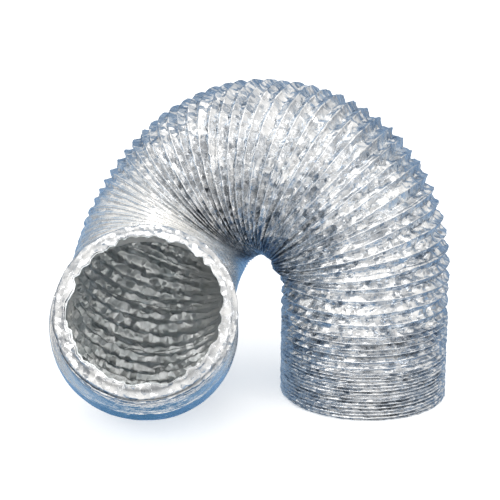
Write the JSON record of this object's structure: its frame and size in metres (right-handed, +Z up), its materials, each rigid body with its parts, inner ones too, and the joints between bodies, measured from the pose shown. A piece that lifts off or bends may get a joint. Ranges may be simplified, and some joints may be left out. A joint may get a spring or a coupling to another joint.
{
  "type": "flexible ventilation duct",
  "caption": "Flexible foil duct on a wire helix, for a 150 mm spigot, stood on one end and bent over in an arch with its other mouth turned to the front.",
  "frame": {"origin": "centre of the standing end's opening, on the floor that it stands on", "axes": "+Z up along the standing end; the mouth faces -Y, and lies towards -X"},
  "size_m": [0.3643, 0.3298, 0.2955],
  "materials": {
    "outer_foil": "satin",
    "inner_foil": "satin",
    "spring_wire": "satin"
  },
  "bodies": {
    "standing_end": {"outer_ply_01": "outer_foil", "wire_01": "spring_wire", "inner_ply_01": "inner_foil"},
    "leg_02": {"outer_ply_02": "outer_foil", "wire_02": "spring_wire", "inner_ply_02": "inner_foil"},
    "leg_03": {"outer_ply_03": "outer_foil", "wire_03": "spring_wire", "inner_ply_03": "inner_foil"},
    "arch_04": {"outer_ply_04": "outer_foil", "wire_04": "spring_wire", "inner_ply_04": "inner_foil"},
    "arch_05": {"outer_ply_05": "outer_foil", "wire_05": "spring_wire", "inner_ply_05": "inner_foil"},
    "arch_06": {"outer_ply_06": "outer_foil", "wire_06": "spring_wire", "inner_ply_06": "inner_foil"},
    "arch_07": {"outer_ply_07": "outer_foil", "wire_07": "spring_wire", "inner_ply_07": "inner_foil"},
    "arch_08": {"outer_ply_08": "outer_foil", "wire_08": "spring_wire", "inner_ply_08": "inner_foil"},
    "turn_09": {"outer_ply_09": "outer_foil", "wire_09": "spring_wire", "inner_ply_09": "inner_foil"},
    "turn_10": {"outer_ply_10": "outer_foil", "wire_10": "spring_wire", "inner_ply_10": "inner_foil"},
    "turn_11": {"outer_ply_11": "outer_foil", "wire_11": "spring_wire", "inner_ply_11": "inner_foil"},
    "turn_12": {"outer_ply_12": "outer_foil", "wire_12": "spring_wire", "inner_ply_12": "inner_foil"},
    "turn_13": {"outer_ply_13": "outer_foil", "wire_13": "spring_wire", "inner_ply_13": "inner_foil"},
    "turn_14": {"outer_ply_14": "outer_foil", "wire_14": "spring_wire", "inner_ply_14": "inner_foil"},
    "turn_15": {"outer_ply_15": "outer_foil", "wire_15": "spring_wire", "inner_ply_15": "inner_foil"},
    "turn_16": {"outer_ply_16": "outer_foil", "wire_16": "spring_wire", "inner_ply_16": "inner_foil"},
    "turn_17": {"outer_ply_17": "outer_foil", "wire_17": "spring_wire", "inner_ply_17": "inner_foil"},
    "turn_18": {"outer_ply_18": "outer_foil", "wire_18": "spring_wire", "inner_ply_18": "inner_foil"},
    "neck_19": {"outer_ply_19": "outer_foil", "wire_19": "spring_wire", "inner_ply_19": "inner_foil"},
    "mouth_20": {"outer_ply_20": "outer_foil", "wire_20": "spring_wire", "inner_ply_20": "inner_foil"}
  },
  "joints": [
    {"name": "leg_stretch", "type": "slide", "parent": "standing_end", "child": "leg_02", "axis": [0, 0, 1], "range_m": [0, 0.22]},
    {"name": "leg_stretch_02", "type": "slide", "parent": "leg_02", "child": "leg_03", "axis": [0, 0, 1], "range_m": [0, 0.06]},
    {"name": "leg_stretch_03", "type": "slide", "parent": "leg_03", "child": "arch_04", "axis": [0, 0, 1], "range_m": [0, 0.03]},
    {"name": "arch_open", "type": "hinge", "parent": "arch_04", "child": "arch_05", "pos_m": [0.06522, -0.02769, 0.17466], "axis": [0.3907, 0.9205, 0], "range_deg": [0, 18.5]},
    {"name": "arch_open_05", "type": "hinge", "parent": "arch_05", "child": "arch_06", "pos_m": [0.04083, -0.01733, 0.22502], "axis": [0.3907, 0.9205, 0], "range_deg": [0, 18.5]},
    {"name": "arch_open_06", "type": "hinge", "parent": "arch_06", "child": "arch_07", "pos_m": [0.00299, -0.00127, 0.26437], "axis": [0.3907, 0.9205, 0], "range_deg": [0, 18.5]},
    {"name": "arch_open_07", "type": "hinge", "parent": "arch_07", "child": "arch_08", "pos_m": [-0.04438, 0.01884, 0.28864], "axis": [0.3907, 0.9205, 0], "range_deg": [0, 18.5]},
    {"name": "arch_open_08", "type": "hinge", "parent": "arch_08", "child": "turn_09", "pos_m": [-0.0964, 0.04092, 0.29533], "axis": [0.3907, 0.9205, 0], "range_deg": [0, 18.5]},
    {"name": "turn_open", "type": "hinge", "parent": "turn_09", "child": "turn_10", "pos_m": [-0.14234, 0.07511, 0.28244], "axis": [0.3912, 0.9003, -0.1906], "range_deg": [0, 18.5]},
    {"name": "turn_open_10", "type": "hinge", "parent": "turn_10", "child": "turn_11", "pos_m": [-0.18396, 0.10144, 0.25049], "axis": [0.4333, 0.8254, -0.3619], "range_deg": [0, 18.5]},
    {"name": "turn_open_11", "type": "hinge", "parent": "turn_11", "child": "turn_12", "pos_m": [-0.21725, 0.11494, 0.20406], "axis": [0.5113, 0.706, -0.4901], "range_deg": [0, 18.5]},
    {"name": "turn_open_12", "type": "hinge", "parent": "turn_12", "child": "turn_13", "pos_m": [-0.23938, 0.11241, 0.14975], "axis": [0.6141, 0.5588, -0.5573], "range_deg": [0, 18.5]},
    {"name": "turn_open_13", "type": "hinge", "parent": "turn_13", "child": "turn_14", "pos_m": [-0.24905, 0.09288, 0.09524], "axis": [0.7276, 0.4044, -0.5541], "range_deg": [0, 18.5]},
    {"name": "turn_open_14", "type": "hinge", "parent": "turn_14", "child": "turn_15", "pos_m": [-0.24673, 0.05776, 0.04826], "axis": [0.836, 0.2641, -0.4811], "range_deg": [0, 18.5]},
    {"name": "turn_open_15", "type": "hinge", "parent": "turn_15", "child": "turn_16", "pos_m": [-0.23453, 0.01061, 0.01547], "axis": [0.9241, 0.1576, -0.3483], "range_deg": [0, 18.5]},
    {"name": "turn_open_16", "type": "hinge", "parent": "turn_16", "child": "turn_17", "pos_m": [-0.21594, -0.04331, 0.00159], "axis": [0.9797, 0.0996, -0.1742], "range_deg": [0, 18.5]},
    {"name": "turn_open_17", "type": "hinge", "parent": "turn_17", "child": "turn_18", "pos_m": [-0.19534, -0.09782, 0.00866], "axis": [0.995, 0.0981, 0.0168], "range_deg": [0, 18.5]},
    {"name": "turn_open_18", "type": "hinge", "parent": "turn_18", "child": "neck_19", "pos_m": [-0.17739, -0.14666, 0.03585], "axis": [0.968, 0.1535, 0.1984], "range_deg": [0, 18.5]},
    {"name": "mouth_stretch", "type": "slide", "parent": "neck_19", "child": "mouth_20", "axis": [0.0094, -0.8125, 0.5829], "range_m": [0, 0.22]}
  ],
  "couplings": [
    {"joint": "leg_stretch_02", "follows": "leg_stretch", "ratio": 0.27273},
    {"joint": "leg_stretch_03", "follows": "leg_stretch", "ratio": 0.13636},
    {"joint": "arch_open_05", "follows": "arch_open", "ratio": 1},
    {"joint": "arch_open_06", "follows": "arch_open", "ratio": 1},
    {"joint": "arch_open_07", "follows": "arch_open", "ratio": 1},
    {"joint": "arch_open_08", "follows": "arch_open", "ratio": 1},
    {"joint": "turn_open_10", "follows": "turn_open", "ratio": 1},
    {"joint": "turn_open_11", "follows": "turn_open", "ratio": 1},
    {"joint": "turn_open_12", "follows": "turn_open", "ratio": 1},
    {"joint": "turn_open_13", "follows": "turn_open", "ratio": 1},
    {"joint": "turn_open_14", "follows": "turn_open", "ratio": 1},
    {"joint": "turn_open_15", "follows": "turn_open", "ratio": 1},
    {"joint": "turn_open_16", "follows": "turn_open", "ratio": 1},
    {"joint": "turn_open_17", "follows": "turn_open", "ratio": 1},
    {"joint": "turn_open_18", "follows": "turn_open", "ratio": 1}
  ]
}
